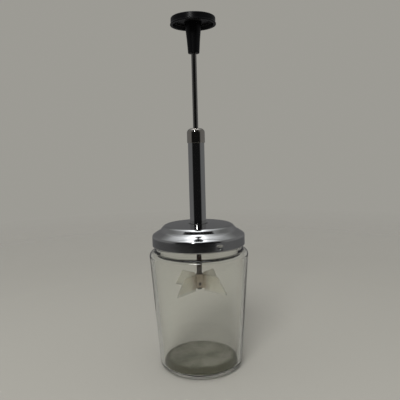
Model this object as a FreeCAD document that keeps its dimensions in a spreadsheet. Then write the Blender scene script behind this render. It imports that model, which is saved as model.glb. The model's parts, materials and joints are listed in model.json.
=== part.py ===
import FreeCAD, Part
import math
import os
import re
import Sketcher

# Nut chopper with a spring plunger.
# Origin: centre of the jar's foot, on the surface that it stands on. +Z up.
# The jar is tapered glass. Its lid carries a tube with a spring inside, and the
# plunger rod runs through the tube, with a knob above and four blades below.

os.makedirs("parts", exist_ok=True)
doc = FreeCAD.newDocument("nut_chopper")

# Driving dimensions, in millimetres and degrees
SIZES = {
    # glass jar
    "jar_foot_radius": 33.06,
    "jar_taper": 0.067,
    "jar_side_top": 93.4,
    "jar_wall": 3.0,
    "jar_floor": 3.6,
    "jar_push_up": 0.9,
    "jar_push_up_radius": 21.0,
    "jar_push_up_slope": 3.0,
    "jar_heel_round": 5.5,
    "jar_shoulder_round": 3.8,
    "jar_shoulder_glass": 2.4,
    "jar_neck_low_round": 0.6,
    "jar_neck_top_round": 0.5,
    "jar_rim_outer_round": 1.4,
    "jar_rim_inner_round": 1.2,
    "jar_neck_inner_round": 1.2,
    "jar_side_inner_round": 1.6,
    "jar_floor_round": 1.4,
    "jar_neck_radius": 35.1,
    "jar_neck_low": 93.8,
    "jar_neck_low_glass": 1.8,
    "jar_neck_top": 97.5,
    "jar_neck_slope": 0.8,
    "jar_finish_radius": 33.5,
    "jar_mouth_radius": 30.6,
    "jar_height": 107.0,
    # thread beads on the glass, and the lid's lugs that run under them
    "thread_starts": 3,
    "thread_lead": 14.0,
    "bead_radius": 1.15,
    "bead_path_radius": 33.9,
    "bead_above_lug": 2.26,
    "bead_turn_down": 56.0,
    "bead_turn_up": 37.0,
    "lug_angle": -66.0,
    "lug_height": 101.3,
    "lug_depth_radius": 36.3,
    "lug_radius": 2.05,
    # loose disc on the jar's floor
    "pad_radius": 29.7,
    "pad_top": 5.1,
    "pad_low_bevel": 1.1,
    "pad_rim": 2.2,
    "pad_rim_step": 0.3,
    # pressed lid
    "sheet": 0.5,
    "lid_radius": 36.5,
    "lid_bottom": 98.0,
    "lid_hem": 1.2,
    "lid_shoulder": 106.2,
    "lid_step_radius": 30.4,
    "lid_step": 109.9,
    "lid_crown_radius": 26.6,
    "lid_crown_edge": 114.1,
    "lid_crown": 114.6,
    "inner_shoulder": 105.9,
    "inner_step_radius": 30.05,
    "inner_step": 109.3,
    "lid_hem_inner_round": 0.35,
    "lid_hem_outer_round": 0.45,
    "lid_shoulder_round": 1.6,
    "lid_step_round": 1.2,
    "lid_crown_round": 3.4,
    # gasket between the lid's slope and the glass rim
    "gasket_inner": 30.9,
    "gasket_outer": 33.4,
    "gasket_gap": 0.09,
    # tube, its cap and its collar
    "tube_radius": 6.35,
    "tube_wall": 0.6,
    "tube_low": 106.0,
    "tube_top": 185.2,
    "tube_lip": 4.9,
    "tube_round": 0.5,
    "ferrule_radius": 6.9,
    "ferrule_low": 177.7,
    "ferrule_edge": 188.1,
    "ferrule_top": 188.9,
    "ferrule_top_radius": 3.3,
    "ferrule_hole": 2.3,
    "ferrule_low_round": 0.2,
    "ferrule_side_round": 3.2,
    "ferrule_top_round": 0.8,
    "ferrule_inner_round": 2.0,
    "collar_hub": 7.4,
    "collar_flange": 11.5,
    "collar_low": 109.6,
    "collar_sheet": 0.9,
    "collar_round": 0.5,
    # guides for the rod
    "guide_bore": 2.05,
    "guide_flange": 2.2,
    "guide_reach": 1.0,
    "guide_top_round": 2.0,
    "lower_guide_top": 110.6,
    "guide_round": 0.3,
    # spring and its seats
    "wire_radius": 0.5,
    "coil_radius": 4.4,
    "coil_turns": 12.5,
    "washer": 0.7,
    "washer_radius": 5.4,
    "seat_low": 182.3,
    "seat_thick": 0.8,
    "clip_thick": 0.76,
    "clip_radius": 4.0,
    "clip_mouth": 2.6,
    "groove_radius": 1.5,
    # rod and its riveted lower end
    "rod_radius": 2.0,
    "rod_top": 258.9,
    "spigot_radius": 1.25,
    "rivet_radius": 2.1,
    "rivet_low": 61.5,
    "rivet_high": 62.4,
    "rivet_round": 0.7,
    "rod_top_round": 0.4,
    # blades
    "blade_top": 74.0,
    "blade_bottom": 61.0,
    "blade_sheet": 0.8,
    "blade_top_radius": 18.0,
    "blade_bottom_radius": 26.5,
    "blade_spread": 45.0,
    "blade_turn": 5.0,
    "blade_edge": 1.6,
    "blade_bevel": 0.5,
    "fold_outer_round": 1.0,
    "fold_inner_round": 0.3,
    "web_distance": 2.5,
    "web_half_width": 2.6,
    "web_low": 63.0,
    "slot_width": 1.6,
    "slot_top": 67.5,
    "notch_margin": 0.9,
    "tab_inset": 0.6,
    "tab_gap": 0.15,
    "blade_washer_radius": 2.4,
    "blade_lower_washer_radius": 2.3,
    "lower_washer": 0.6,
    "spacer_radius": 1.95,
    # knob and its insert
    "knob_low": 245.0,
    "stem_low_radius": 4.33,
    "stem_mid_radius": 5.0,
    "stem_mid": 254.5,
    "stem_top_radius": 6.15,
    "knob_rim_low": 265.7,
    "knob_rim_radius": 17.36,
    "knob_rim_inner": 15.5,
    "knob_recess_radius": 14.6,
    "knob_recess": 268.6,
    "knob_edge_radius": 16.85,
    "knob_top": 272.3,
    "knob_dome": 130.0,
    "stem_low_round": 0.5,
    "knob_recess_round": 0.8,
    "knob_rim_round": 0.3,
    "knob_edge_round": 1.0,
    "insert_radius": 3.0,
    "insert_low": 246.5,
    "insert_top": 259.0,
    # clearances: parts that turn or slide, and parts that are fixed together
    "running": 0.05,
    "seated": 0.02,
}

sheet = doc.addObject("Spreadsheet::Sheet", "Sizes")
for row, (alias, value) in enumerate(SIZES.items(), start=1):
    sheet.set("A%d" % row, alias)
    sheet.set("B%d" % row, str(value))
    sheet.setAlias("B%d" % row, alias)
doc.recompute()


def bound(text):
    """An expression in which each named size is read from the sheet."""
    return re.sub(r"[a-z]+(?:_[a-z]+)*", lambda word: "Sizes." + word.group()
                  if word.group() in SIZES else word.group(), text)


def origin_plane(body, role):
    return next(plane for plane in body.Origin.OriginFeatures if plane.Role == role)


def new_sketch(body, name, role, height=None):
    sketch = body.newObject("Sketcher::SketchObject", name)
    sketch.AttachmentSupport = [(origin_plane(body, role), "")]
    sketch.MapMode = "FlatFace"
    if height is not None:
        sketch.setExpression("AttachmentOffset.Base.z", bound(height))
    return sketch


def bind_point(sketch, line, end, axis, text):
    """Ties one coordinate of a point to an expression, or to an axis where it is 0."""
    if text == "0":
        other_axis = -2 if axis == "DistanceX" else -1
        sketch.addConstraint(Sketcher.Constraint("PointOnObject", line, end, other_axis))
        return
    point = sketch.getPoint(line, end)
    value = point.x if axis == "DistanceX" else point.y
    number = sketch.addConstraint(Sketcher.Constraint(axis, -1, 1, line, end, value))
    sketch.setExpression("Constraints[%d]" % number, bound(text))


def outline(sketch, corners):
    """A closed outline with each corner's two coordinates bound to the sheet."""
    count = len(corners)
    start = [FreeCAD.Vector(math.cos(2 * math.pi * i / count) + 2, math.sin(2 * math.pi * i / count) + 2, 0)
             for i in range(count)]
    for i in range(count):
        sketch.addGeometry(Part.LineSegment(start[i], start[(i + 1) % count]))
    for i in range(count):
        sketch.addConstraint(Sketcher.Constraint("Coincident", i, 2, (i + 1) % count, 1))
    for i, (across, up) in enumerate(corners):
        bind_point(sketch, i, 1, "DistanceX", across)
        bind_point(sketch, i, 1, "DistanceY", up)


def ring_edges(shape, radius, height):
    """Names of the full circles about Z with this radius, at this height."""
    names = []
    for number, edge in enumerate(shape.Edges, start=1):
        curve = edge.Curve
        if curve.TypeId != "Part::GeomCircle":
            continue
        if abs(curve.Radius - radius) < 1e-4 and abs(curve.Center.z - height) < 1e-4:
            names.append("Edge%d" % number)
    return names


def turned(label, corners, rounds=None):
    """A body turned about Z from its half section. rounds: a named radius by corner number."""
    body = doc.addObject("PartDesign::Body", label)
    sketch = new_sketch(body, label + "_section", "XZ_Plane")
    outline(sketch, corners)
    turn = body.newObject("PartDesign::Revolution", label + "_turn")
    turn.Profile = sketch
    turn.ReferenceAxis = (sketch, ["V_Axis"])
    turn.Angle = 360
    doc.recompute()
    places = [sketch.getPoint(i, 1) for i in range(len(corners))]
    by_size = {}
    for corner, size in (rounds or {}).items():
        by_size.setdefault(size, []).append(corner)
    for size, numbers in by_size.items():
        last = body.Tip
        names = []
        for corner in numbers:
            found = ring_edges(last.Shape, places[corner].x, places[corner].y)
            if not found:
                raise RuntimeError("%s: no edge at corner %d" % (label, corner))
            names += found
        fillet = body.newObject("PartDesign::Fillet", label + "_round")
        fillet.Base = (last, names)
        fillet.setExpression("Radius", bound(size))
        doc.recompute()
    return body


def ring(label, inner, outer, low, high):
    return turned(label, [(inner, low), (outer, low), (outer, high), (inner, high)])


def pad(body, name, corners, low, thick):
    sketch = new_sketch(body, name + "_outline", "XY_Plane", low)
    outline(sketch, corners)
    solid = body.newObject("PartDesign::Pad", name)
    solid.Profile = sketch
    solid.setExpression("Length", bound(thick))
    doc.recompute()
    return solid


def cut_up(body, name, corners, low, thick):
    """Removes a prism that stands on the height low, and proves that it cut."""
    before = body.Shape.Volume
    sketch = new_sketch(body, name + "_outline", "XY_Plane", low)
    outline(sketch, corners)
    pocket = body.newObject("PartDesign::Pocket", name)
    pocket.Profile = sketch
    pocket.setExpression("Length", bound(thick))
    pocket.Reversed = True
    doc.recompute()
    if body.Shape.Volume > before - 1e-3:
        raise RuntimeError(name + " cuts nothing")
    return pocket


# Glass jar: body, neck and rim
side_top = "jar_foot_radius + jar_taper * jar_side_top"
jar_glass = turned("jar_glass", [
    ("0", "jar_push_up"),
    ("jar_push_up_radius", "jar_push_up"),
    ("jar_push_up_radius + jar_push_up_slope", "0"),
    ("jar_foot_radius", "0"),
    (side_top, "jar_side_top"),
    ("jar_neck_radius", "jar_neck_low"),
    ("jar_neck_radius", "jar_neck_top"),
    ("jar_finish_radius", "jar_neck_top + jar_neck_slope"),
    ("jar_finish_radius", "jar_height"),
    ("jar_mouth_radius", "jar_height"),
    ("jar_mouth_radius", "jar_neck_low - jar_neck_low_glass"),
    (side_top + " - jar_wall", "jar_side_top - jar_shoulder_glass"),
    ("jar_foot_radius + jar_taper * jar_floor - jar_wall", "jar_floor"),
    ("0", "jar_floor"),
], {
    3: "jar_heel_round", 4: "jar_shoulder_round", 5: "jar_neck_low_round", 6: "jar_neck_top_round",
    8: "jar_rim_outer_round", 9: "jar_rim_inner_round", 10: "jar_neck_inner_round",
    11: "jar_side_inner_round", 12: "jar_floor_round",
})


def thread_bead(number):
    """One raised bead of the glass thread: a round rope on a helix, with round ends."""
    name = "bead_%d" % number
    start = "lug_angle - bead_turn_down + %d * 360 / thread_starts" % number
    span = "bead_turn_down + bead_turn_up"
    low = "lug_height + bead_above_lug - thread_lead * bead_turn_down / 360"
    helix = doc.addObject("Part::Helix", name + "_path")
    helix.setExpression("Pitch", bound("thread_lead"))
    helix.setExpression("Height", bound("thread_lead * (%s) / 360" % span))
    helix.setExpression("Radius", bound("bead_path_radius"))
    helix.LocalCoord = 0
    circle = doc.addObject("Part::Circle", name + "_section")
    circle.setExpression("Radius", bound("bead_radius"))
    lead_angle = math.degrees(math.atan(SIZES["thread_lead"] / (2 * math.pi * SIZES["bead_path_radius"])))
    circle.Placement = FreeCAD.Placement(FreeCAD.Vector(SIZES["bead_path_radius"], 0, 0),
                                         FreeCAD.Rotation(FreeCAD.Vector(1, 0, 0), 90 + lead_angle))
    rope = doc.addObject("Part::Sweep", name + "_rope")
    rope.Sections = [circle]
    rope.Spine = (helix, ["Edge1"])
    rope.Solid = True
    rope.Frenet = True
    pieces = [rope]
    for end, (turn, rise) in enumerate((("0", "0"), (span, "thread_lead * (%s) / 360" % span))):
        ball = doc.addObject("Part::Sphere", "%s_end_%d" % (name, end))
        ball.setExpression("Radius", bound("bead_radius"))
        ball.setExpression("Placement.Base.x", bound("bead_path_radius * cos((%s) * 1 deg)" % turn))
        ball.setExpression("Placement.Base.y", bound("bead_path_radius * sin((%s) * 1 deg)" % turn))
        ball.setExpression("Placement.Base.z", bound(rise))
        pieces.append(ball)
    bead = doc.addObject("Part::MultiFuse", name)
    bead.Shapes = pieces
    bead.setExpression("Placement.Base.z", bound(low))
    bead.Placement.Rotation = FreeCAD.Rotation(FreeCAD.Vector(0, 0, 1), 0)
    bead.setExpression("Placement.Rotation.Angle", bound(start))
    return bead


jar = doc.addObject("Part::MultiFuse", "jar")
jar.Refine = False
jar.Shapes = [jar_glass] + [thread_bead(number) for number in range(int(SIZES["thread_starts"]))]

# Loose disc that the blades chop against
cutting_pad = turned("cutting_pad", [
    ("0", "jar_floor + seated"),
    ("pad_radius - pad_low_bevel", "jar_floor + seated"),
    ("pad_radius", "jar_floor + seated + pad_low_bevel"),
    ("pad_radius", "pad_top"),
    ("pad_radius - pad_rim", "pad_top"),
    ("pad_radius - pad_rim - pad_rim_step", "pad_top - pad_rim_step"),
    ("0", "pad_top - pad_rim_step"),
])

# Pressed lid: hemmed skirt, slope, step and flat crown with the tube's hole
lid_shell = turned("lid_shell", [
    ("lid_radius - sheet", "lid_bottom + lid_hem"),
    ("lid_radius - 2 * sheet", "lid_bottom + lid_hem"),
    ("lid_radius - 2 * sheet", "lid_bottom"),
    ("lid_radius", "lid_bottom"),
    ("lid_radius", "lid_shoulder"),
    ("lid_step_radius", "lid_step"),
    ("lid_crown_radius", "lid_crown_edge"),
    ("tube_radius + seated", "lid_crown"),
    ("tube_radius + seated", "lid_crown - sheet"),
    ("lid_crown_radius - 0.2", "lid_crown_edge - sheet - seated"),
    ("inner_step_radius", "inner_step"),
    ("lid_radius - sheet", "inner_shoulder"),
], {
    2: "lid_hem_inner_round", 3: "lid_hem_outer_round", 4: "lid_shoulder_round", 5: "lid_step_round",
    6: "lid_crown_round", 9: "lid_crown_round - sheet", 10: "lid_step_round + sheet",
    11: "lid_shoulder_round - sheet",
})


def lug_ball(name, radius, number):
    """One ball on the circle of lugs, with its poles facing in and out."""
    turn = "lug_angle + %d * 360 / thread_starts" % number
    ball = doc.addObject("Part::Sphere", "%s_%d" % (name, number))
    lug_turn = SIZES["lug_angle"] + number * 360 / SIZES["thread_starts"]
    facing = FreeCAD.Rotation(FreeCAD.Vector(0, 0, 1), lug_turn)
    ball.Placement.Rotation = facing * FreeCAD.Rotation(FreeCAD.Vector(0, 1, 0), 90)
    ball.setExpression("Radius", bound(radius))
    ball.setExpression("Placement.Base.x", bound("lug_depth_radius * cos((%s) * 1 deg)" % turn))
    ball.setExpression("Placement.Base.y", bound("lug_depth_radius * sin((%s) * 1 deg)" % turn))
    ball.setExpression("Placement.Base.z", bound("lug_height"))
    return ball


# Each lug is a dimple pressed in from outside, with the sheet's thickness round it
lug_numbers = range(int(SIZES["thread_starts"]))
lug_bumps = doc.addObject("Part::MultiFuse", "lug_bumps")
lug_bumps.Shapes = [lug_ball("lug_bump", "lug_radius", number) for number in lug_numbers]
skirt_space = doc.addObject("Part::Cylinder", "skirt_space")
skirt_space.setExpression("Radius", bound("lid_radius - sheet / 2"))
skirt_space.setExpression("Height", bound("lid_crown"))
lugs_inside = doc.addObject("Part::MultiCommon", "lugs_inside")
lugs_inside.Shapes = [lug_bumps, skirt_space]
lid_with_lugs = doc.addObject("Part::MultiFuse", "lid_with_lugs")
lid_with_lugs.Refine = False
lid_with_lugs.Shapes = [lid_shell, lugs_inside]
lug_dents = doc.addObject("Part::MultiFuse", "lug_dents")
lug_dents.Shapes = [lug_ball("lug_dent", "lug_radius - sheet", number) for number in lug_numbers]
lid = doc.addObject("Part::Cut", "lid")
lid.Refine = False
lid.Base = lid_with_lugs
lid.Tool = lug_dents

# Soft gasket between the lid's slope and the glass rim
slope = "(inner_step - inner_shoulder) / (lid_radius - sheet - inner_step_radius)"
under_slope = "inner_step - (%s - inner_step_radius) * " + slope + " - gasket_gap"
lid_gasket = turned("lid_gasket", [
    ("gasket_inner", "jar_height + gasket_gap"),
    ("gasket_outer - 1.1", "jar_height + gasket_gap"),
    ("gasket_outer", "jar_height - 0.3"),
    ("gasket_outer", under_slope % "gasket_outer"),
    ("gasket_inner", under_slope % "gasket_inner"),
])

# Tube with its lower end crimped in, and the cap over its upper end
spring_tube = turned("spring_tube", [
    ("tube_lip", "tube_low"),
    ("tube_radius", "tube_low"),
    ("tube_radius", "tube_top"),
    ("tube_radius - tube_wall", "tube_top"),
    ("tube_radius - tube_wall", "tube_low + tube_wall"),
    ("tube_lip", "tube_low + tube_wall"),
], {1: "tube_round"})
tube_ferrule = turned("tube_ferrule", [
    ("tube_radius + seated", "ferrule_low"),
    ("ferrule_radius", "ferrule_low"),
    ("ferrule_radius", "ferrule_edge"),
    ("ferrule_top_radius", "ferrule_top"),
    ("ferrule_hole", "ferrule_top"),
    ("ferrule_hole", "tube_top + guide_flange + seated"),
    ("tube_radius + seated", "tube_top + guide_flange + seated"),
], {1: "ferrule_low_round", 2: "ferrule_side_round", 3: "ferrule_top_round", 6: "ferrule_inner_round"})
crown_fall = "(lid_crown - lid_crown_edge) / (lid_crown_radius - tube_radius)"
flange_high = "lid_crown - sheet - 2 * seated - (%s - tube_radius) * " + crown_fall
tube_collar = turned("tube_collar", [
    ("tube_radius + seated", "collar_low"),
    ("collar_hub", "collar_low"),
    ("collar_hub", flange_high % "collar_hub" + " - collar_sheet"),
    ("collar_flange", flange_high % "collar_flange" + " - collar_sheet"),
    ("collar_flange", flange_high % "collar_flange"),
    ("tube_radius + seated", flange_high % "tube_radius"),
], {2: "collar_round"})

# Guides for the rod at both ends of the tube
upper_guide = turned("upper_guide", [
    ("guide_bore", "tube_top - guide_reach"),
    ("tube_radius - tube_wall - seated", "tube_top - guide_reach"),
    ("tube_radius - tube_wall - seated", "tube_top"),
    ("tube_radius - running", "tube_top"),
    ("tube_radius - running", "tube_top + guide_flange"),
    ("guide_bore", "tube_top + guide_flange"),
], {1: "guide_round", 4: "guide_top_round"})
lower_guide = turned("lower_guide", [
    ("guide_bore", "tube_low + tube_wall + seated"),
    ("tube_radius - tube_wall - seated", "tube_low + tube_wall + seated"),
    ("tube_radius - tube_wall - seated", "lower_guide_top"),
    ("guide_bore", "lower_guide_top"),
], {1: "guide_round", 2: "guide_round"})

# Spring with its washer below and its seat and clip above
spring_lower_washer = ring("spring_lower_washer", "rod_radius + 0.3", "washer_radius",
                           "lower_guide_top", "lower_guide_top + washer")
coil_low = "lower_guide_top + washer + wire_radius + seated"
coil_high = "seat_low - wire_radius - seated"
coil_path = doc.addObject("Part::Helix", "coil_path")
coil_path.setExpression("Height", bound("%s - (%s)" % (coil_high, coil_low)))
coil_path.setExpression("Pitch", bound("(%s - (%s)) / coil_turns" % (coil_high, coil_low)))
coil_path.setExpression("Radius", bound("coil_radius"))
coil_section = doc.addObject("Part::Circle", "coil_section")
coil_section.setExpression("Radius", bound("wire_radius"))
coil_section.Placement = FreeCAD.Placement(FreeCAD.Vector(SIZES["coil_radius"], 0, 0),
                                           FreeCAD.Rotation(FreeCAD.Vector(1, 0, 0), 90))
return_spring = doc.addObject("Part::Sweep", "return_spring")
return_spring.Sections = [coil_section]
return_spring.Spine = (coil_path, ["Edge1"])
return_spring.Solid = True
return_spring.Frenet = True
return_spring.setExpression("Placement.Base.z", bound(coil_low))

upper_spring_seat = ring("upper_spring_seat", "guide_bore", "washer_radius",
                         "seat_low", "seat_low + seat_thick")
clip_low = "seat_low + seat_thick + seated"
rod_clip = ring("rod_clip", "groove_radius + seated", "clip_radius", clip_low, clip_low + " + clip_thick")
cut_up(rod_clip, "clip_mouth_cut", [
    ("0", "0 - clip_mouth / 2"),
    ("clip_radius + 1", "0 - clip_mouth / 2"),
    ("clip_radius + 1", "clip_mouth / 2"),
    ("0", "clip_mouth / 2"),
], clip_low + " - 0.5", "clip_thick + 1")

# Rod: clip groove above, shoulder and riveted spigot below
groove_low = "seat_low + seat_thick"
shoulder = "blade_top + blade_sheet"
plunger_rod = turned("plunger_rod", [
    ("0", "rivet_low"),
    ("rivet_radius", "rivet_low"),
    ("rivet_radius", "rivet_high"),
    ("spigot_radius", "rivet_high"),
    ("spigot_radius", shoulder),
    ("rod_radius", shoulder),
    ("rod_radius", groove_low),
    ("groove_radius", groove_low),
    ("groove_radius", groove_low + " + clip_thick + 2 * seated"),
    ("rod_radius", groove_low + " + clip_thick + 2 * seated"),
    ("rod_radius", "rod_top"),
    ("0", "rod_top"),
], {1: "rivet_round", 10: "rod_top_round"})


def blade_pair(label, turn, top, low):
    """A strip folded into a V with two flared blades. Tabs folded from the upper and
    lower edges of its slotted web, at the heights top and low, go round the rod's spigot."""
    body = doc.addObject("PartDesign::Body", label)
    lean = "cos(blade_spread * 1 deg)"
    rise = "sin(blade_spread * 1 deg)"
    half = "blade_sheet / 2"
    corner_shift = half + " * tan(blade_spread / 2 * 1 deg)"
    reach = "blade_bottom_radius + 2"
    tip_x = "web_distance + (%s) * %s" % (reach, lean)
    tip_y = "web_half_width + (%s) * %s" % (reach, rise)
    outer = [
        ("web_distance - " + half, "web_half_width + " + corner_shift),
        ("%s - %s * %s" % (tip_x, half, rise), "%s + %s * %s" % (tip_y, half, lean)),
        ("%s + %s * %s" % (tip_x, half, rise), "%s - %s * %s" % (tip_y, half, lean)),
        ("web_distance + " + half, "web_half_width - " + corner_shift),
    ]
    mirrored = [(across, "0 - (%s)" % up) for across, up in reversed(outer)]
    strip = pad(body, label + "_strip", outer + mirrored, "blade_bottom", "blade_top - blade_bottom")
    flare = new_sketch(body, label + "_flare_section", "XZ_Plane")
    outline(flare, [
        ("blade_top_radius", "blade_top + 0.1"),
        ("blade_bottom_radius", "blade_bottom - 0.1"),
        ("blade_bottom_radius + 20", "blade_bottom - 0.1"),
        ("blade_bottom_radius + 20", "blade_top + 0.1"),
    ])
    before = body.Shape.Volume
    groove = body.newObject("PartDesign::Groove", label + "_flare")
    groove.Profile = flare
    groove.ReferenceAxis = (flare, ["V_Axis"])
    groove.Angle = 360
    doc.recompute()
    if body.Shape.Volume > before - 1:
        raise RuntimeError(label + ": the flare cuts nothing")
    notch = [
        ("0", "0 - web_half_width - notch_margin"),
        ("web_distance + 2 * blade_sheet", "0 - web_half_width - notch_margin"),
        ("web_distance + 2 * blade_sheet", "web_half_width + notch_margin"),
        ("0", "web_half_width + notch_margin"),
    ]
    cut_up(body, label + "_notch_low", notch, "blade_bottom - 1", "%s - blade_bottom + 1" % low)
    if top != "blade_top":
        cut_up(body, label + "_notch_top", notch, top, "2")
    edges = []
    for number, edge in enumerate(body.Shape.Edges, start=1):
        box = edge.BoundBox
        if box.ZMax < SIZES["blade_bottom"] + 0.01 and edge.Length > 10:
            middle = edge.CenterOfMass
            edges.append((abs(middle.y), "Edge%d" % number))
    last = body.Tip
    bevel = body.newObject("PartDesign::Chamfer", label + "_bevel")
    bevel.Base = (last, [name for distance, name in sorted(edges)[2:]])
    bevel.ChamferType = "Two distances"
    bevel.setExpression("Size", bound("blade_edge"))
    bevel.setExpression("Size2", bound("blade_bevel"))
    doc.recompute()
    for side, size in (("outer", "fold_outer_round"), ("inner", "fold_inner_round")):
        names = []
        for number, edge in enumerate(body.Shape.Edges, start=1):
            box = edge.BoundBox
            upright = box.ZLength > 5 and box.XLength < 0.01 and box.YLength < 0.01
            at_fold = abs(box.YMin) < SIZES["web_half_width"] + SIZES["blade_sheet"]
            behind = box.XMin < SIZES["web_distance"]
            if upright and at_fold and behind == (side == "outer"):
                names.append("Edge%d" % number)
        last = body.Tip
        fold = body.newObject("PartDesign::Fillet", "%s_fold_%s" % (label, side))
        fold.Base = (last, names)
        fold.setExpression("Radius", bound(size))
        doc.recompute()
    tab_half = "web_half_width - tab_inset"
    tab = [
        ("0 - web_distance + %s + tab_gap" % half, "0 - (%s)" % tab_half),
        ("web_distance", "0 - (%s)" % tab_half),
        ("web_distance", tab_half),
        ("0 - web_distance + %s + tab_gap" % half, tab_half),
    ]
    pad(body, label + "_tab_top", tab, top + " - blade_sheet", "blade_sheet")
    pad(body, label + "_tab_low", tab, low, "blade_sheet")
    slot = [
        ("web_distance - blade_sheet", "0 - slot_width / 2"),
        ("web_distance + blade_sheet", "0 - slot_width / 2"),
        ("web_distance + blade_sheet", "slot_width / 2"),
        ("web_distance - blade_sheet", "slot_width / 2"),
    ]
    cut_up(body, label + "_slot", slot, "blade_bottom - 1", "slot_top - blade_bottom + 1")
    hole_sketch = new_sketch(body, label + "_hole_outline", "XY_Plane", "blade_bottom - 1")
    circle = Part.Circle(FreeCAD.Vector(0, 0, 0), FreeCAD.Vector(0, 0, 1), 1)
    hole_sketch.addGeometry(circle)
    hole_sketch.addConstraint(Sketcher.Constraint("Coincident", 0, 3, -1, 1))
    number = hole_sketch.addConstraint(Sketcher.Constraint("Radius", 0, 1))
    hole_sketch.setExpression("Constraints[%d]" % number, bound("spigot_radius + seated"))
    before = body.Shape.Volume
    hole = body.newObject("PartDesign::Pocket", label + "_hole")
    hole.Profile = hole_sketch
    hole.setExpression("Length", bound("blade_top - blade_bottom + 2"))
    hole.Reversed = True
    doc.recompute()
    if body.Shape.Volume > before - 1:
        raise RuntimeError(label + ": the hole cuts nothing")
    body.Placement.Rotation = FreeCAD.Rotation(FreeCAD.Vector(0, 0, 1), 0)
    body.setExpression("Placement.Rotation.Angle", bound(turn))
    return body


blade_front = blade_pair("blade_front", "blade_turn - 90", "blade_top", "web_low")
blade_back = blade_pair("blade_back", "blade_turn + 90", "blade_top - blade_sheet", "web_low + blade_sheet")
blade_upper_washer = ring("blade_upper_washer", "spigot_radius + seated", "blade_washer_radius",
                          "blade_top", shoulder)
blade_spacer = ring("blade_spacer", "spigot_radius + seated", "spacer_radius",
                    "web_low + 2 * blade_sheet", "blade_top - 2 * blade_sheet")
blade_lower_washer = ring("blade_lower_washer", "spigot_radius + seated", "blade_lower_washer_radius",
                          "web_low - lower_washer", "web_low")

# Mushroom knob: tapered stem, hollow underside and low dome, on its insert
dome_circles = ["knob_edge_radius * %.2f" % share for share in (1, 0.82, 0.62, 0.42, 0.22)]
dome = [(circle, "knob_top - (%s)^2 / (2 * knob_dome)" % circle) for circle in dome_circles]
knob = turned("knob", [
    ("guide_bore", "knob_low"),
    ("stem_low_radius", "knob_low"),
    ("stem_mid_radius", "stem_mid"),
    ("stem_top_radius", "knob_rim_low + 0.4"),
    ("stem_top_radius + 0.4", "knob_recess - 0.3"),
    ("knob_recess_radius", "knob_recess"),
    ("knob_rim_inner", "knob_rim_low"),
    ("knob_rim_radius", "knob_rim_low"),
    ("knob_rim_radius", "knob_rim_low + 0.7"),
    ("knob_edge_radius + 0.1", "knob_rim_low + 1.5"),
] + dome + [
    ("0", "knob_top"),
    ("0", "insert_top + seated"),
    ("insert_radius + seated", "insert_top + seated"),
    ("insert_radius + seated", "insert_low - seated"),
    ("guide_bore", "insert_low - seated"),
], {
    1: "stem_low_round", 4: "knob_recess_round", 5: "knob_recess_round",
    6: "knob_rim_round", 7: "knob_rim_round", 10: "knob_edge_round",
})
knob_insert = ring("knob_insert", "rod_radius + seated", "insert_radius", "insert_low", "insert_top")

PARTS = [
    jar, cutting_pad, lid, lid_gasket, spring_tube, tube_ferrule, tube_collar, upper_guide,
    lower_guide, spring_lower_washer, return_spring, upper_spring_seat, rod_clip, plunger_rod,
    blade_front, blade_back, blade_upper_washer, blade_spacer, blade_lower_washer, knob, knob_insert,
]

doc.recompute()
failed = [thing.Label for thing in doc.Objects if "Invalid" in thing.State or "Error" in thing.State]
if failed:
    raise RuntimeError("failed objects: " + ", ".join(failed))
for part in PARTS:
    shape = part.Shape
    if shape.isNull() or not shape.isValid():
        raise RuntimeError(part.Label + " has no valid shape")
    shape.exportStep("parts/%s.step" % part.Label)
    print("%s %d solid %.1f mm3" % (part.Label, len(shape.Solids), shape.Volume))
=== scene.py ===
import json
import math

import bmesh
import bpy
from mathutils import Matrix, Vector


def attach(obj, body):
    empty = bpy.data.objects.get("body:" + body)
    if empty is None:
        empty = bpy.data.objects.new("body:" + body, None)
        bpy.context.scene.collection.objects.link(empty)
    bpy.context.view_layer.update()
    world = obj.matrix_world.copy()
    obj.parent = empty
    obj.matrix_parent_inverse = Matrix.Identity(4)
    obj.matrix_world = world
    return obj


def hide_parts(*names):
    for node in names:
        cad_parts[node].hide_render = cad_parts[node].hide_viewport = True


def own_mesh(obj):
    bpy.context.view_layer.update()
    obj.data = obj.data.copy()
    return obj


# Nut chopper with a spring plunger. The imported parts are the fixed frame. The jar, the lid,
# the turned pieces and the spring are made again here with fine roundings, and every part
# gets its finish. Sections and heights of the pieces are in millimetres, as radius and
# height from the plunger's axis and the table. Finishes and the studio are in metres.

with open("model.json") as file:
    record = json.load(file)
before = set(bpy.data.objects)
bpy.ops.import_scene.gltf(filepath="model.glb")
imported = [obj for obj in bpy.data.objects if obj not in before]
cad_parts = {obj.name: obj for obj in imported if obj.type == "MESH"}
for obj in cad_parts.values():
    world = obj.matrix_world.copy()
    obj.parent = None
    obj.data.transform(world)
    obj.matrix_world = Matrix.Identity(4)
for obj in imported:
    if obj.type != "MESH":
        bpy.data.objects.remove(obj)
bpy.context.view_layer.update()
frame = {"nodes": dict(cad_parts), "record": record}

MM = 0.001
SAME_POINT = 1e-6
ORIGIN = (0, 0, 0)
UP = (0, 0, 1)


# Modelling

def deselect_all():
    bpy.ops.object.select_all(action="DESELECT")


def pick(piece):
    """Makes the piece the only one selected, and the active one."""
    deselect_all()
    bpy.context.view_layer.objects.active = piece
    piece.select_set(True)


def edit(piece):
    pick(piece)
    bpy.ops.object.mode_set(mode="EDIT")


def done():
    bpy.ops.object.mode_set(mode="OBJECT")


def named(name):
    """Names the new primitive and puts its place into its mesh."""
    piece = bpy.context.object
    piece.name = piece.data.name = name
    bpy.ops.object.transform_apply(location=True, rotation=True, scale=True)
    return piece


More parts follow.
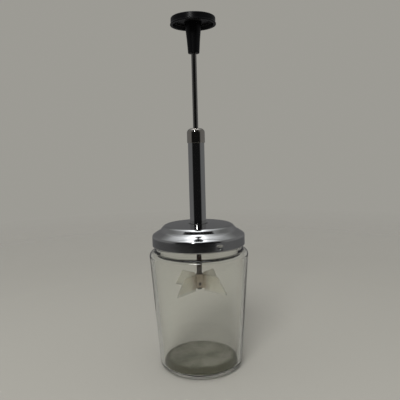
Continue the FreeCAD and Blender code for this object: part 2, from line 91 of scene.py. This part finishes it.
def modify(piece, kind, **settings):
    """Adds a modifier with its settings to the active piece and applies it."""
    bpy.ops.object.modifier_add(type=kind)
    modifier = piece.modifiers[-1]
    for name, value in settings.items():
        setattr(modifier, name, value)
    bpy.ops.object.modifier_apply(modifier=modifier.name)


def select_where(piece, chosen, kind="verts"):
    """Selects the vertices or edges of the piece in edit mode that chosen() is true for."""
    mesh = bmesh.from_edit_mesh(piece.data)
    mesh.select_mode = {{"verts": "VERT", "edges": "EDGE"}[kind]}
    for group in (mesh.verts, mesh.edges, mesh.faces):
        for item in group:
            item.select = False
    for item in getattr(mesh, kind):
        if chosen(item):
            item.select = True
    mesh.select_flush_mode()
    bmesh.update_edit_mesh(piece.data)


def faces_outward():
    bpy.ops.mesh.select_all(action="SELECT")
    bpy.ops.mesh.normals_make_consistent(inside=False)


def half_section(name, corners):
    """A wire through the corners of a half section, left in edit mode."""
    deselect_all()
    radius, height = corners[0]
    bpy.ops.mesh.primitive_plane_add(size=MM, location=(radius * MM, 0, height * MM))
    piece = named(name)
    edit(piece)
    bpy.ops.mesh.select_all(action="SELECT")
    bpy.ops.mesh.merge(type="CENTER")
    for (radius, height), (next_radius, next_height) in zip(corners, corners[1:]):
        step = ((next_radius - radius) * MM, 0, (next_height - height) * MM)
        bpy.ops.mesh.extrude_region_move(TRANSFORM_OT_translate={"value": step})
    return piece


def round_corner(piece, corners, number, radius):
    """Rounds one corner of the half section by a radius."""
    here = Vector(corners[number])
    before = Vector(corners[number - 1]) - here
    after = Vector(corners[(number + 1) % len(corners)]) - here
    back = radius / math.tan(before.angle(after) / 2)
    place = Vector((here.x * MM, 0, here.y * MM))
    select_where(piece, lambda vert: (vert.co - place).length < SAME_POINT)
    bpy.ops.mesh.bevel(offset_type="OFFSET", offset=back * MM, segments=8, affect="VERTICES")


def rounded_section(name, corners, rounds):
    """A half section, closed unless it starts on the axis. rounds: radius by corner number."""
    closed = corners if corners[0][0] == 0 else corners + [corners[0]]
    piece = half_section(name, closed)
    for number, radius in rounds.items():
        round_corner(piece, corners, number, radius)
    return piece


def spun(piece, steps):
    """Spins the half section round the axis into a closed skin with its faces outward."""
    bpy.ops.mesh.select_all(action="SELECT")
    bpy.ops.mesh.remove_doubles(threshold=SAME_POINT)
    bpy.ops.mesh.spin(steps=steps, angle=2 * math.pi, center=ORIGIN, axis=UP)
    bpy.ops.mesh.select_all(action="SELECT")
    bpy.ops.mesh.remove_doubles(threshold=SAME_POINT)
    faces_outward()
    done()
    return piece


def smooth(piece, angle=32):
    """Smooth shading that keeps edges sharper than the angle, with flat faces left flat."""
    pick(piece)
    bpy.ops.object.shade_smooth_by_angle(angle=math.radians(angle))
    modify(piece, "WEIGHTED_NORMAL", keep_sharp=True)
    return piece


def turned(name, corners, rounds, steps):
    return smooth(spun(rounded_section(name, corners, rounds), steps))


# Glass jar with its thread beads, and chrome lid with the lugs that run under them

# Beads and lugs, with their places round the axis in degrees
THREAD_STARTS, START_TO_START = 3, 120
FIRST_BEAD, FIRST_LUG = -122, -66
THREAD_LEAD = 14.0
BEAD_PATH, BEAD_RADIUS, BEAD_SPAN = 33.9, 1.15, 93.0
BEAD_OVER_LUG = 103.56
BEAD_STEPS = 32
BEAD_END = [0.62, 0.86]
LUG_PATH, LUG_HEIGHT = 36.25, 101.3
LUG_RADIUS, LUG_DEPTH, LUG_REACH = 0.85, 1.5, 1.7


def glass_jar():
    section = rounded_section("glass_jar", [
        (0, 0.9), (21.0, 0.9), (24.0, 0), (33.06, 0), (39.318, 93.4), (35.1, 93.8),
        (35.1, 97.5), (33.5, 98.3), (33.5, 107.0), (30.6, 107.0), (30.6, 92.0),
        (36.318, 91.0), (30.301, 3.6), (0, 3.6),
    ], {
        1: 1.5, 2: 1.0, 3: 5.5, 4: 3.8, 5: 0.6, 6: 0.5, 8: 1.4, 9: 1.2, 10: 1.2, 11: 1.6, 12: 1.4,
    })
    jar = spun(section, steps=256)
    for number in range(THREAD_STARTS):
        bead = thread_bead(FIRST_BEAD + START_TO_START * number)
        pick(jar)
        modify(jar, "BOOLEAN", operation="UNION", solver="EXACT", object=bead)
        bpy.data.objects.remove(bead)
    return smooth(jar, angle=40)


def thread_bead(start):
    """One raised bead: a small round face drawn on along the thread's rise, with round ends."""
    angle = math.radians(start)
    here = Vector((math.cos(angle), math.sin(angle), 0)) * BEAD_PATH * MM
    here.z = (BEAD_OVER_LUG - THREAD_LEAD * (FIRST_LUG - FIRST_BEAD) / 360) * MM
    deselect_all()
    bpy.ops.mesh.primitive_circle_add(vertices=16, radius=BEAD_RADIUS * MM, fill_type="NGON",
                                      location=here, rotation=(math.pi / 2, 0, angle))
    bead = named("bead")
    edit(bead)
    bpy.ops.mesh.select_all(action="SELECT")
    sizes = BEAD_END + [1.0] * (BEAD_STEPS - 3) + BEAD_END[::-1]
    bpy.ops.transform.resize(value=(sizes[0],) * 3, center_override=here)
    turn = math.radians(BEAD_SPAN / BEAD_STEPS)
    rise = THREAD_LEAD * MM * turn / (2 * math.pi)
    for size, next_size in zip(sizes, sizes[1:]):
        bpy.ops.mesh.extrude_region_move(TRANSFORM_OT_translate={"value": (0, 0, rise)})
        bpy.ops.transform.rotate(value=-turn, orient_axis="Z", center_override=ORIGIN)
        here.rotate(Matrix.Rotation(turn, 3, "Z"))
        here.z += rise
        bpy.ops.transform.resize(value=(next_size / size,) * 3, center_override=here)
    faces_outward()
    done()
    return bead


def chrome_lid():
    section = rounded_section("chrome_lid", [
        (36.0, 99.2), (35.5, 99.2), (35.5, 98.0), (36.5, 98.0), (36.5, 106.2), (33.58, 108.18),
        (30.4, 109.9), (26.75, 114.1), (6.37, 114.6), (6.37, 114.1), (26.4, 113.58),
        (30.05, 109.3), (36.0, 105.9),
    ], {2: 0.35, 3: 0.45, 4: 1.7, 5: 45, 6: 7, 7: 4.4, 10: 2.9, 11: 1.7, 12: 1.1})
    # The skirt's upright outer line gets the points that the lugs need
    select_where(section, lambda edge: edge.calc_length() > 4 * MM
                 and all(vert.co.x > 35.9 * MM for vert in edge.verts), "edges")
    bpy.ops.mesh.subdivide(number_cuts=28)
    lid = spun(section, steps=288)
    for number in range(THREAD_STARTS):
        press_lug(lid, math.radians(FIRST_LUG + START_TO_START * number))
    return smooth(lid)


def press_lug(lid, angle):
    """Presses a round dimple into the skirt from outside."""
    out = Vector((math.cos(angle), math.sin(angle), 0))
    centre = out * LUG_PATH * MM + Vector((0, 0, LUG_HEIGHT * MM))
    edit(lid)
    select_where(lid, lambda vert: (vert.co - centre).length < LUG_RADIUS * MM)
    bpy.ops.transform.translate(value=-out * LUG_DEPTH * MM, use_proportional_edit=True,
                                proportional_edit_falloff="SMOOTH",
                                proportional_size=LUG_REACH * MM)
    done()


# Pad, chrome tube with its cap, rod and knob

def pad_disc():
    return turned("pad_disc", [
        (0, 3.62), (28.6, 3.62), (29.7, 4.72), (29.7, 5.1), (27.5, 5.1), (27.2, 4.8), (0, 4.8),
    ], {2: 0.3, 3: 0.12, 4: 0.2, 5: 0.2}, steps=192)


def chrome_tube():
    return turned("chrome_tube", [
        (4.9, 106.0), (6.35, 106.0), (6.35, 185.2), (5.75, 185.2), (5.75, 106.6), (4.9, 106.6),
    ], {1: 0.5}, steps=128)


def nickel_cap():
    return turned("nickel_cap", [
        (6.37, 177.7), (6.9, 177.7), (6.9, 188.1), (3.3, 188.9), (2.3, 188.9), (2.3, 187.42),
        (6.37, 187.42),
    ], {1: 0.1, 2: 3.2, 3: 0.8, 4: 0.15, 6: 2.0}, steps=128)


def steel_rod():
    return turned("steel_rod", [
        (0, 61.5), (2.1, 61.5), (2.1, 62.4), (1.25, 62.4), (1.25, 74.8), (2.0, 74.8),
        (2.0, 183.1), (1.5, 183.1), (1.5, 183.9), (2.0, 183.9), (2.0, 258.9), (0, 258.9),
    ], {1: 0.7, 5: 0.15, 10: 0.4}, steps=64)


def black_knob():
    """Mushroom knob: stem, hollow underside, rim, low dome and the bore for its insert."""
    top, dome_radius, flatness = 272.3, 16.85, 260
    dome = [(dome_radius * share, top - (dome_radius * share) ** 2 / flatness)
            for share in (1, 0.9, 0.8, 0.7, 0.6, 0.5, 0.4, 0.3, 0.2, 0.1)]
    under = [(2.05, 245.0), (4.33, 245.0), (5.0, 254.5), (6.15, 266.1), (6.55, 268.3),
             (14.6, 268.6), (15.5, 265.7), (17.36, 265.7), (17.36, 266.4), (16.95, 267.2)]
    bore = [(0, 259.02), (3.02, 259.02), (3.02, 246.48), (2.05, 246.48)]
    return turned("black_knob", under + dome + [(0, top)] + bore, {
        1: 0.5, 4: 0.8, 5: 0.8, 6: 0.3, 7: 0.3, 8: 0.25, 9: 0.3, 10: 1.0,
    }, steps=192)


# Return spring, between its lower washer and its seat

SPRING_FOOT, SPRING_HEAD, STROKE = 111.3, 182.3, 55.5
SPRING_CLEARANCE = 0.02
COIL_RADIUS, WIRE_RADIUS, HALF_TURNS = 4.4, 0.5, 25


def wound_spring():
    """A round wire wound up from foot to head, with both of its ends closed."""
    low, high = SPRING_FOOT + SPRING_CLEARANCE, SPRING_HEAD - SPRING_CLEARANCE
    deselect_all()
    bpy.ops.mesh.primitive_circle_add(vertices=16, radius=WIRE_RADIUS * MM,
                                      rotation=(math.pi / 2, 0, 0),
                                      location=(COIL_RADIUS * MM, 0, (low + WIRE_RADIUS) * MM))
    spring = named("wound_spring")
    modify(spring, "SCREW", angle=math.pi, iterations=HALF_TURNS, steps=24, render_steps=24,
           screw_offset=(high - low - 2 * WIRE_RADIUS) * MM / HALF_TURNS)
    edit(spring)
    middle = (low + high) / 2 * MM
    for above in (False, True):
        select_where(spring, lambda edge: edge.is_boundary
                     and (edge.verts[0].co.z > middle) == above, "edges")
        bpy.ops.mesh.edge_face_add()
    faces_outward()
    done()
    return smooth(spring, angle=50)


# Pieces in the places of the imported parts

slots = {}


def keep(piece, node, body, slot):
    """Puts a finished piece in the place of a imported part."""
    slots[piece] = slot
    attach(piece, body)
    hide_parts(node)


keep(glass_jar(), "jar", "jar_body", "jar_glass")
keep(chrome_lid(), "lid", "lid_body", "lid_chrome")
keep(pad_disc(), "cutting_pad", "jar_body", "pad_board")
keep(chrome_tube(), "spring_tube", "lid_body", "tube_chrome")
keep(nickel_cap(), "tube_ferrule", "lid_body", "ferrule_nickel")
keep(steel_rod(), "plunger_rod", "plunger", "rod_steel")
keep(black_knob(), "knob", "plunger", "knob_black")
spring = wound_spring()
keep(spring, "return_spring", "lid_body", "spring_steel")
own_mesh(spring)


# Finishes

class Value:
    """One socket of a finish. Arithmetic on it adds the Math nodes."""

    def __init__(self, finish, socket):
        self.finish = finish
        self.socket = socket

    def maths(self, operation, *values):
        return self.finish.node("Math", {"operation": operation}, dict(enumerate(values)))

    def __add__(self, other):
        return self.maths("ADD", self, other)

    def __radd__(self, other):
        return self.maths("ADD", other, self)

    def __sub__(self, other):
        return self.maths("SUBTRACT", self, other)

    def __rsub__(self, other):
        return self.maths("SUBTRACT", other, self)

    def __mul__(self, other):
        return self.maths("MULTIPLY", self, other)

    def __rmul__(self, other):
        return self.maths("MULTIPLY", other, self)

    def __truediv__(self, other):
        return self.maths("DIVIDE", self, other)

    def __gt__(self, other):
        return self.maths("GREATER_THAN", self, other)

    def __lt__(self, other):
        return self.maths("LESS_THAN", self, other)

    def __abs__(self):
        return self.maths("ABSOLUTE", self)

    def largest(self, other):
        return self.maths("MAXIMUM", self, other)


class Finish:
    """A material, or the world, and the nodes in it."""

    def __init__(self, owner):
        owner.use_nodes = True
        self.owner = owner
        self.tree = owner.node_tree

    def feed(self, shader, values):
        """Sets plain values on a node's sockets and links varying ones."""
        for name, value in values.items():
            if isinstance(value, Value):
                self.tree.links.new(value.socket, shader.inputs[name])
            else:
                shader.inputs[name].default_value = value

    def node(self, kind, settings=None, values=None, out=0):
        made = self.tree.nodes.new("ShaderNode" + kind)
        for name, setting in (settings or {}).items():
            if name == "stops":
                stops = made.color_ramp.elements
                while len(stops) < len(setting):
                    stops.new(0.5)
                for stop, (place, tone) in zip(stops, setting):
                    stop.position = place
                    stop.color = (tone, tone, tone, 1)
            else:
                setattr(made, name, setting)
        self.feed(made, values or {})
        return Value(self, made.outputs[out])

    def surface(self, values):
        self.feed(self.tree.nodes["Principled BSDF"], values)

    def place(self, stretch=(1, 1, 1), turn=(0, 0, 0), shift=(0, 0, 0)):
        """Points of the piece itself, stretched, turned and shifted."""
        own = self.node("TexCoord", out="Object")
        return self.node("Mapping", None, {"Vector": own, "Scale": stretch, "Rotation": turn,
                                           "Location": shift})

    def noise(self, scale, detail=3.0, rough=0.5, stretch=(1, 1, 1)):
        return self.node("TexNoise", None, {"Vector": self.place(stretch), "Scale": scale,
                                            "Detail": detail, "Roughness": rough})

    def part(self, vector, axis):
        """One of a vector's three numbers."""
        return self.node("SeparateXYZ", None, {"Vector": vector}, axis)

    def length(self, vector):
        return self.node("VectorMath", {"operation": "LENGTH"}, {0: vector}, 1)

    def path(self, name):
        """What is known of the ray that sees this point."""
        return self.node("LightPath", out=name)

    def ramp(self, value, stops):
        return self.node("ValToRGB", {"stops": stops}, {"Fac": value})

    def mix(self, share, first, second):
        """A colour between two, each a red, green and blue or a varying one."""
        first, second = (colour if isinstance(colour, Value) else (*colour, 1)
                         for colour in (first, second))
        return self.node("Mix", {"data_type": "RGBA"}, {0: share, 6: first, 7: second}, 2)

    def blend(self, share, first, second):
        return self.node("MixShader", None, {0: share, 1: first, 2: second})

    def glow(self, kind, colour, strength=1.0):
        """A shader that gives light: Emission on a surface, Background in the world."""
        colour = colour if isinstance(colour, Value) else (*colour, 1)
        return self.node(kind, None, {"Color": colour, "Strength": strength})

    def bump(self, height, distance, strength, under=None):
        values = {"Height": height, "Distance": distance, "Strength": strength}
        if under:
            values["Normal"] = under
        return self.node("Bump", None, values)


# Depth of hairlines, pits and peel
FINE = 0.00001
# A ramp ends at 1, so a distance is multiplied for it to end at these lengths
OVER_25_MM, OVER_31_MM, OVER_100_MM, OVER_200_MM = 40, 32, 10, 5
BLACK, WHITE = (0, 0, 0), (1, 1, 1)


def new_finish(name):
    return Finish(bpy.data.materials.new(name))


def clear_glass():
    """Pressed glass: slow waves, upright streaks, peel and a few dull smears."""
    f = new_finish("clear_pressed_glass")
    waves = f.noise(34, 1.0, 0.4, (1, 1, 0.3))
    streaks = f.noise(120, 2.0, 0.5, (1, 1, 0.06))
    peel = f.noise(420, 2.0)
    smears = f.ramp(f.noise(60, 4.0, 0.6, (1, 1, 0.5)), [(0.55, 0.0), (0.8, 1.0)])
    relief = f.bump(streaks, 0.00012, 0.5, f.bump(waves, 0.0009, 0.6))
    f.surface({
        "Base Color": (0.962, 0.966, 0.938, 1),
        "Transmission Weight": 1.0,
        "IOR": 1.5,
        "Roughness": smears * 0.03,
        "Normal": f.bump(peel, FINE, 0.25, relief),
    })
    return f.owner


def from_axis(f):
    """Distance of a point from the plunger's axis."""
    return f.length(f.place((1, 1, 0)))


def chrome(name, tint, wear, joint=0.001):
    """Polished plate with haze, hairlines and pits. It is darker and rougher near the axis, out
    to the joint's radius.
    """
    f = new_finish(name)
    haze = f.ramp(f.noise(55, 4.0, 0.6), [(0.45, 0.0), (0.8, 1.0)])
    hairline = f.noise(900, 2.0, 0.5, (1, 1, 0.04))
    ripple = f.noise(120, 1.0)
    pits = f.ramp(f.noise(1600, 2.0, 0.6), [(0.7, 0.0), (0.76, 1.0)])
    # A dark ring round the axis, out to the joint's radius; on the lid it lies at the tube's foot
    edge = joint * OVER_25_MM
    dark_near_axis = 1 - f.ramp(from_axis(f) * OVER_25_MM + (haze - 0.5) * 0.03,
                      [(edge - 0.03, 0.0), (edge, 1.0)])
    plate = f.mix(pits * (0.35 * wear), tint, (0.16, 0.13, 0.10))
    f.surface({
        "Base Color": f.mix(dark_near_axis * 0.85, plate, (0.035, 0.033, 0.03)),
        "Metallic": 1.0,
        "Roughness": 0.045 + haze * 0.06 * wear + hairline * 0.03 + dark_near_axis * 0.25,
        "Normal": f.bump(ripple, 0.00003, 0.25, f.bump(pits, FINE, 0.4)),
    })
    return f.owner


def steel_marks(f):
    """Drawn lines round a piece, and soft stains."""
    lines = f.noise(700, 3.0, 0.6, (1, 1, 0.02))
    stain = f.ramp(f.noise(90, 4.0, 0.6), [(0.5, 0.0), (0.78, 1.0)])
    return lines, stain


def drawn_metal(name, tint):
    f = new_finish(name)
    lines, stain = steel_marks(f)
    stained = tuple(part * share for part, share in zip(tint, (0.62, 0.55, 0.47)))
    f.surface({
        "Base Color": f.mix(stain * 0.55, tint, stained),
        "Metallic": 1.0,
        "Roughness": 0.2 + lines * 0.06 + stain * 0.1,
        "Normal": f.bump(lines, FINE, 0.15),
    })
    return f.owner


def rod_steel():
    """Ground steel, darker and browner below the lid, inside the jar."""
    f = new_finish("ground_rod_steel")
    lines, stain = steel_marks(f)
    height = f.part(f.place(), 2)
    # Darker and browner below the lid's height, inside the jar
    dark_inside_jar = 1 - f.ramp(height * OVER_200_MM + stain * 0.015, [(0.51, 0.0), (0.55, 1.0)])
    clean = f.mix(stain * 0.4, (0.33, 0.318, 0.296), (0.23, 0.215, 0.19))
    brown = f.mix(stain, (0.058, 0.042, 0.035), (0.032, 0.024, 0.021))
    f.surface({
        "Base Color": f.mix(dark_inside_jar, clean, brown),
        "Metallic": 1.0,
        "Roughness": 0.07 + lines * 0.06 + stain * 0.1 + dark_inside_jar * 0.12,
        "Normal": f.bump(lines, FINE, 0.15),
    })
    return f.owner


def blade_steel():
    """Stamped sheet, tarnished brown near the rod and bright along the ground edge."""
    f = new_finish("stamped_blade_steel")
    grain = f.noise(260, 3.0, 0.6, (1, 1, 9))
    stain = f.ramp(f.noise(110, 5.0, 0.62), [(0.46, 0.0), (0.72, 1.0)])
    patchy = f.noise(300, 4.0, 0.6)
    far = f.ramp(from_axis(f) * OVER_25_MM + (patchy - 0.5) * 0.3, [(0.12, 0.0), (0.50, 1.0)])
    tarnish = (1 - far) * 0.8 + stain * 0.2
    ground = f.part(f.place(), 2) < 0.0626
    steel = f.mix(tarnish, (0.86, 0.84, 0.745), (0.25, 0.18, 0.11))
    f.surface({
        "Base Color": f.mix(ground * 0.8, steel, (0.80, 0.79, 0.75)),
        "Metallic": 0.72,
        "Roughness": 0.14 + grain * 0.08 + stain * 0.1,
        "Normal": f.bump(grain, FINE, 0.3),
    })
    return f.owner


def black_plastic():
    """Moulded plastic with a fine peel, dust in its grain and scuffs."""
    f = new_finish("black_moulded_plastic")
    peel = f.noise(900, 2.0)
    dust = f.ramp(f.noise(1300, 3.0, 0.7), [(0.64, 0.0), (0.76, 1.0)])
    scuff = f.ramp(f.noise(240, 5.0, 0.7, (1, 1, 3)), [(0.56, 0.0), (0.74, 1.0)])
    f.surface({
        "Base Color": f.mix(dust * 0.25, (0.0025, 0.0025, 0.0028), (0.022, 0.02, 0.018)),
        "Roughness": 0.27 + scuff * 0.16 + dust * 0.2,
        "Specular IOR Level": 0.13,
        "Normal": f.bump(peel, FINE, 0.35, f.bump(scuff, FINE, 0.3)),
    })
    return f.owner


def worn_pad():
    """Olive pad, worn to a paler grey where the blades land, with their cuts; its darker olive
    front edge is painted shade.
    """
    f = new_finish("worn_pad_board")
    # The pale middle is shifted behind the centre, so the darker olive edge at the front is
    # painted shade
    from_middle = f.length(f.place((1, 1, 0), shift=(0, -0.0075, 0)))
    ragged = f.noise(160, 5.0, 0.65)
    broad = f.noise(40, 3.0, 0.5)
    wear_and_front_shade = 1 - f.ramp(from_middle * OVER_31_MM + (ragged - 0.5) * 0.16 + (broad - 0.5) * 0.16,
                      [(0.80, 0.0), (0.92, 1.0)])
    cuts = None
    for turn, stretch in ((0.3, 40), (1.1, 46), (1.9, 38), (2.6, 44)):
        drawn = f.node("Mapping", None, {"Vector": f.place(turn=(0, 0, turn)),
                                         "Scale": (1, stretch, 1)})
        lines = f.ramp(f.node("TexNoise", None, {"Vector": drawn, "Scale": 26.0, "Detail": 2.0}),
                       [(0.63, 0.0), (0.68, 1.0)])
        cuts = lines if cuts is None else cuts.largest(lines)
    cuts = cuts * wear_and_front_shade
    mottle = f.noise(75, 5.0, 0.65)
    blotch = f.ramp(f.noise(55, 3.0, 0.6) * 0.6 + mottle * 0.4, [(0.38, 0.0), (0.62, 1.0)])
    # The fresh tone is darkened as painted shade
    fresh_shaded = f.mix(mottle, (0.060, 0.058, 0.028), (0.096, 0.092, 0.05))
    used = f.mix(blotch, (0.14, 0.135, 0.10), (0.26, 0.252, 0.205))
    f.surface({
        "Base Color": f.mix(cuts * 0.35, f.mix(wear_and_front_shade, fresh_shaded, used), (0.33, 0.315, 0.26)),
        "Roughness": 0.42 + wear_and_front_shade * 0.15 + mottle * 0.2,
        "Normal": f.bump(1 - cuts, 0.00012, 0.6, f.bump(mottle, 0.00006, 0.4)),
    })
    return f.owner


def soft_plastic(name, tint, rough):
    """Mottled, slightly uneven material of the gasket and the guides."""
    f = new_finish(name)
    mottle = f.noise(160, 4.0, 0.6)
    darker = tuple(part * 0.78 for part in tint)
    f.surface({
        "Base Color": f.mix(mottle, darker, tint),
        "Roughness": rough - 0.05 + mottle * 0.15,
        "Normal": f.bump(f.noise(900, 2.0), FINE, 0.3),
    })
    return f.owner


finishes = {
    "jar_glass": clear_glass(),
    "pad_board": worn_pad(),
    "lid_chrome": chrome("lid_chrome_plate", (0.56, 0.562, 0.552), 1.0, joint=0.0078),
    "tube_chrome": chrome("tube_chrome_plate", (0.50, 0.503, 0.492), 0.7),
    "ferrule_nickel": chrome("warm_nickel_plate", (0.50, 0.47, 0.42), 1.2),
    "collar_steel": drawn_metal("plated_collar_steel", (0.52, 0.52, 0.51)),
    "gasket_rubber": soft_plastic("gasket_rubber", (0.5, 0.49, 0.45), 0.7),
    "guide_plastic": soft_plastic("guide_plastic", (0.7, 0.68, 0.6), 0.45),
    "spring_steel": drawn_metal("spring_wire_steel", (0.46, 0.46, 0.45)),
    "rod_steel": rod_steel(),
    "blade_steel": blade_steel(),
    "knob_black": black_plastic(),
    "insert_brass": drawn_metal("turned_brass", (0.62, 0.45, 0.2)),
}


def paint(thing, material):
    thing.data.materials.clear()
    thing.data.materials.append(material)


for piece, slot in slots.items():
    paint(piece, finishes[slot])
for part in frame["record"]["subparts"]:
    paint(frame["nodes"][part["node"]], finishes[part["material_slot"]])


# Studio: floor, surround of painted reflections for the polished metal, world, lamps and camera

def pale_floor():
    """Floor disc that fades softly into the plain background."""
    deselect_all()
    bpy.ops.mesh.primitive_circle_add(vertices=128, radius=1.6, fill_type="NGON",
                                      location=(0, 0, -0.0001))
    floor = bpy.context.object
    floor.name = floor.data.name = "floor"
    f = new_finish("pale_floor")
    f.surface({
        "Base Color": f.mix(f.noise(3, 2.0), (0.355, 0.345, 0.31), (0.37, 0.36, 0.325)),
        "Roughness": 0.8,
        "Specular IOR Level": 0.15,
        "Alpha": f.ramp(f.length(f.place()), [(0.28, 1.0), (0.95, 0.0)]),
    })
    paint(floor, f.owner)


def mirrored(f):
    """1 for what a polished surface mirrors, 0 for what glass alone bends or turns back."""
    through = f.path("Is Transmission Ray") * (f.path("Transmission Depth") < 3.5)
    return (f.path("Glossy Depth") > 0.5) * (1 - through)


def painted_reflection_sheet():
    """Painted reflections: dark in front, grey at the sides and darker low down, with a painted
    glint, a bright patch that only second mirrorings show.
    """
    f = new_finish("painted_reflection_sheet")
    own = f.place()
    across, along, height = (f.part(own, axis) for axis in range(3))
    around = across.maths("ARCTAN2", across, along * -1) / (2 * math.pi) + 0.5
    high_tone = f.ramp(around, [
        (0.0, 0.13), (0.07, 0.14), (0.13, 0.19), (0.31, 0.19), (0.335, 0.12), (0.352, 0.010),
        (0.638, 0.010), (0.655, 0.13), (0.69, 0.20), (0.87, 0.20), (0.93, 0.14), (1.0, 0.13),
    ])
    low_tone = f.ramp(around, [
        (0.0, 0.13), (0.12, 0.11), (0.30, 0.075), (0.40, 0.03), (0.46, 0.012), (0.54, 0.010),
        (0.60, 0.03), (0.625, 0.12), (0.72, 0.13), (0.88, 0.12), (1.0, 0.13),
    ])
    # Darker low down: painted shade at the table's height
    tone = low_tone + (high_tone - low_tone) * f.ramp(height, [(0.022, 0.0), (0.045, 1.0)])
    # A painted glint: a bright patch placed where the crown's mirroring of the tube meets the
    # sheet
    off_painted_glint = f.node("VectorMath", {"operation": "DISTANCE"},
                        {0: f.place((1, 1, 5)), 1: (-0.1345, -0.4084, 1.12)}, 1)
    second = f.path("Glossy Depth") > 1.5
    glint = (1 - f.ramp(off_painted_glint * OVER_100_MM, [(0.46, 0.0), (0.62, 1.0)])) * second
    reflection_glow = f.glow("Emission", f.mix(tone, BLACK, (1.0, 1.0, 1.02)))
    painted_glint_glow = f.glow("Emission", WHITE, 14.0)
    clear = f.node("BsdfTransparent", None, {"Color": (*WHITE, 1)})
    shown = f.blend(mirrored(f), clear, f.blend(glint, reflection_glow, painted_glint_glow))
    f.tree.links.new(shown.socket, f.tree.nodes["Material Output"].inputs["Surface"])
    f.owner.cycles.emission_sampling = "NONE"
    return f.owner


def painted_reflection_surround():
    """A round curtain of painted reflections, which shows only in reflections."""
    deselect_all()
    bpy.ops.mesh.primitive_circle_add(vertices=128, radius=0.43, fill_type="NOTHING",
                                      location=ORIGIN)
    curtain = bpy.context.object
    curtain.name = curtain.data.name = "painted_reflection_surround"
    edit(curtain)
    bpy.ops.mesh.select_all(action="SELECT")
    bpy.ops.mesh.extrude_region_move(TRANSFORM_OT_translate={"value": (0, 0, 0.40)})
    done()
    paint(curtain, painted_reflection_sheet())
    curtain.visible_camera = curtain.visible_diffuse = curtain.visible_shadow = False


def soft_world():
    """Plain background, an even light on the object, and a softbox overhead for the metal."""
    w = Finish(bpy.data.worlds.new("studio"))
    bpy.context.scene.world = w.owner
    way = w.node("TexCoord", out="Generated")
    side, front, height = (w.part(way, axis) for axis in range(3))
    core = w.ramp(abs(side + 0.03), [(0.0, 1.0), (0.13, 0.92), (0.22, 0.42), (0.42, 0.12),
                                     (0.68, 0.0)])
    bent = (front - abs(side) * 0.3) * 0.5 + 0.5
    along = w.ramp(bent, [(0.362, 0.0), (0.374, 1.0), (0.614, 1.0), (0.618, 0.25),
                          (0.626, 0.25), (0.631, 0.9), (0.70, 0.85), (0.80, 0.0)])
    beside = w.ramp(abs(side), [(0.45, 0.0), (0.6, 1.0)])
    shade = w.ramp(bent, [(0.362, 1.0), (0.374, 0.0)]) * (1 - beside)
    softbox = core * along * w.ramp(height, [(0.5, 0.0), (0.75, 1.0)])
    room = w.glow("Background", (0.186, 0.188, 0.188))
    dark = w.glow("Background", (0.015, 0.015, 0.015))
    light = w.glow("Background", (0.97, 0.99, 1.03), 2.6)
    overhead = w.blend(softbox, w.blend(shade, room, dark), light)
    evenly = w.ramp(height * 0.5 + 0.5, [(0.5, 0.42), (1.0, 0.78)])
    lit = w.glow("Background", w.mix(evenly, BLACK, (1.0, 0.995, 0.985)))
    seen = w.glow("Background", (0.335, 0.327, 0.298))
    in_metal = mirrored(w)
    straight = w.path("Is Camera Ray").largest(w.path("Is Transmission Ray"))
    direct = straight * (w.path("Diffuse Depth") < 0.5) * (1 - in_metal)
    shown = w.blend(direct, w.blend(in_metal, lit, overhead), seen)
    w.tree.links.new(shown.socket, w.tree.nodes["World Output"].inputs[0])


LAMP_AIM = Vector((0, 0, 0.12))


def lamp(name, place, size, power, glints):
    """A square lamp that either lights the object or only glints on it."""
    data = bpy.data.lights.new(name, "AREA")
    data.size = size
    data.energy = power
    made = bpy.data.objects.new(name, data)
    made.visible_glossy = glints
    made.visible_diffuse = not glints
    bpy.context.scene.collection.objects.link(made)
    made.location = place
    made.rotation_euler = (LAMP_AIM - Vector(place)).to_track_quat("-Z", "Y").to_euler()


def camera():
    """Stands in front, a little above the tube's middle, and looks slightly down."""
    made = bpy.data.objects.new("camera", bpy.data.cameras.new("camera"))
    bpy.context.scene.collection.objects.link(made)
    made.data.sensor_width = 36
    made.data.lens = 40.30
    made.data.clip_start = 0.01
    made.data.clip_end = 60
    pan, down, roll = -0.73, 6.33, -1.44
    made.matrix_world = (Matrix.Translation((-0.00252, -0.35030, 0.17185))
                         @ Matrix.Rotation(math.radians(pan), 4, "Z")
                         @ Matrix.Rotation(math.radians(90 - down), 4, "X")
                         @ Matrix.Rotation(math.radians(roll), 4, "Z"))
    bpy.context.scene.camera = made


pale_floor()
painted_reflection_surround()
soft_world()
lamp("key_lamp", (-0.30, -1.05, 0.95), 0.6, 14, glints=False)
lamp("glint_lamp", (-0.30, -1.05, 0.85), 0.12, 7, glints=True)
camera()
bpy.context.scene.view_settings.view_transform = "Standard"
